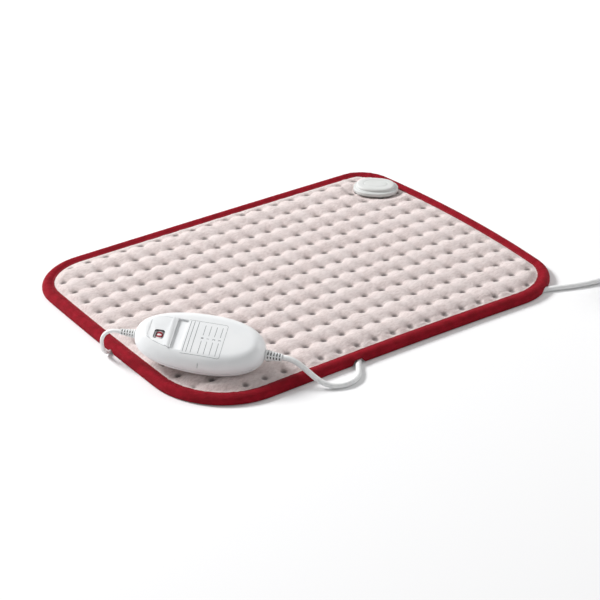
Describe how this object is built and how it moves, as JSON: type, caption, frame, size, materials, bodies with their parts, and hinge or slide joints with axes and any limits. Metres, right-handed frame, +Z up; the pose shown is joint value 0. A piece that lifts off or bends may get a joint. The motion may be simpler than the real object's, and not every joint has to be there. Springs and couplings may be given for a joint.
{
  "type": "electric heating pad",
  "caption": "Quilted electric heating pad with a bound edge, a corner coupling and an oval in-line hand controller with a sliding heat switch and mains lead.",
  "frame": {"origin": "on the floor under the middle of the pad, without its leads", "axes": "+X along the pad's long side, towards the coupling's end; +Y from the controller's side to the rear; +Z up"},
  "size_m": [0.642, 0.4166, 0.0516],
  "materials": {
    "fleece": "matte",
    "woven_tape": "matte",
    "backing": "matte",
    "interlining": "matte",
    "wire_red": "matte",
    "white_shell": "satin",
    "grey_white_shell": "satin",
    "lead_grey": "satin",
    "board_green": "matte",
    "black_plastic": "matte",
    "film_red": "satin",
    "lamp_red": "gloss",
    "copper": "satin",
    "steel": "satin"
  },
  "bodies": {
    "pad_and_controller": {"bottom_cover": "backing", "heating_wire": "wire_red", "thermal_cutout_1": "steel", "thermal_cutout_2": "steel", "heating_carrier": "interlining", "top_cover": "fleece", "edge_binding": "woven_tape", "coupling_bottom_shell": "grey_white_shell", "coupling_top_shell": "grey_white_shell", "contact_block": "black_plastic", "contact_pin_1": "copper", "contact_pin_2": "copper", "contact_pin_3": "copper", "coupling_screw_1": "steel", "coupling_screw_2": "steel", "upper_housing": "white_shell", "lower_housing": "white_shell", "drum_rail": "black_plastic", "contact_strip": "copper", "circuit_board": "board_green", "pad_lead_strain_relief": "lead_grey", "mains_strain_relief": "lead_grey", "housing_screw_1": "steel", "housing_screw_2": "steel", "housing_screw_3": "steel", "housing_screw_4": "steel", "glass_fuse": "steel", "film_capacitor": "film_red", "electrolytic_capacitor": "black_plastic", "triac": "black_plastic", "controller_chip": "black_plastic", "mains_terminal": "grey_white_shell", "pad_terminal": "grey_white_shell", "indicator_lamp": "lamp_red", "pad_lead": "lead_grey", "mains_lead": "lead_grey", "mains_lead_coil": "lead_grey", "mains_lead_tail": "lead_grey", "coil_tie": "grey_white_shell", "plug_body": "lead_grey", "plug_pin_1": "steel", "plug_pin_2": "steel"},
    "slider": {"switch_slider": "white_shell", "contact_wiper": "copper"},
    "drum": {"digit_drum": "grey_white_shell"}
  },
  "joints": [
    {"name": "switch_slide", "type": "slide", "parent": "pad_and_controller", "child": "slider", "axis": [0.6919, -0.718, -0.0752], "range_m": [0, 0.0096]},
    {"name": "drum_turn", "type": "hinge", "parent": "slider", "child": "drum", "pos_m": [-0.20058, -0.07689, 0.03583], "axis": [0.6945, 0.6335, 0.341], "range_deg": [0, 270]}
  ],
  "couplings": [
    {"joint": "drum_turn", "follows": "switch_slide", "rad_per_m": 490.87}
  ]
}
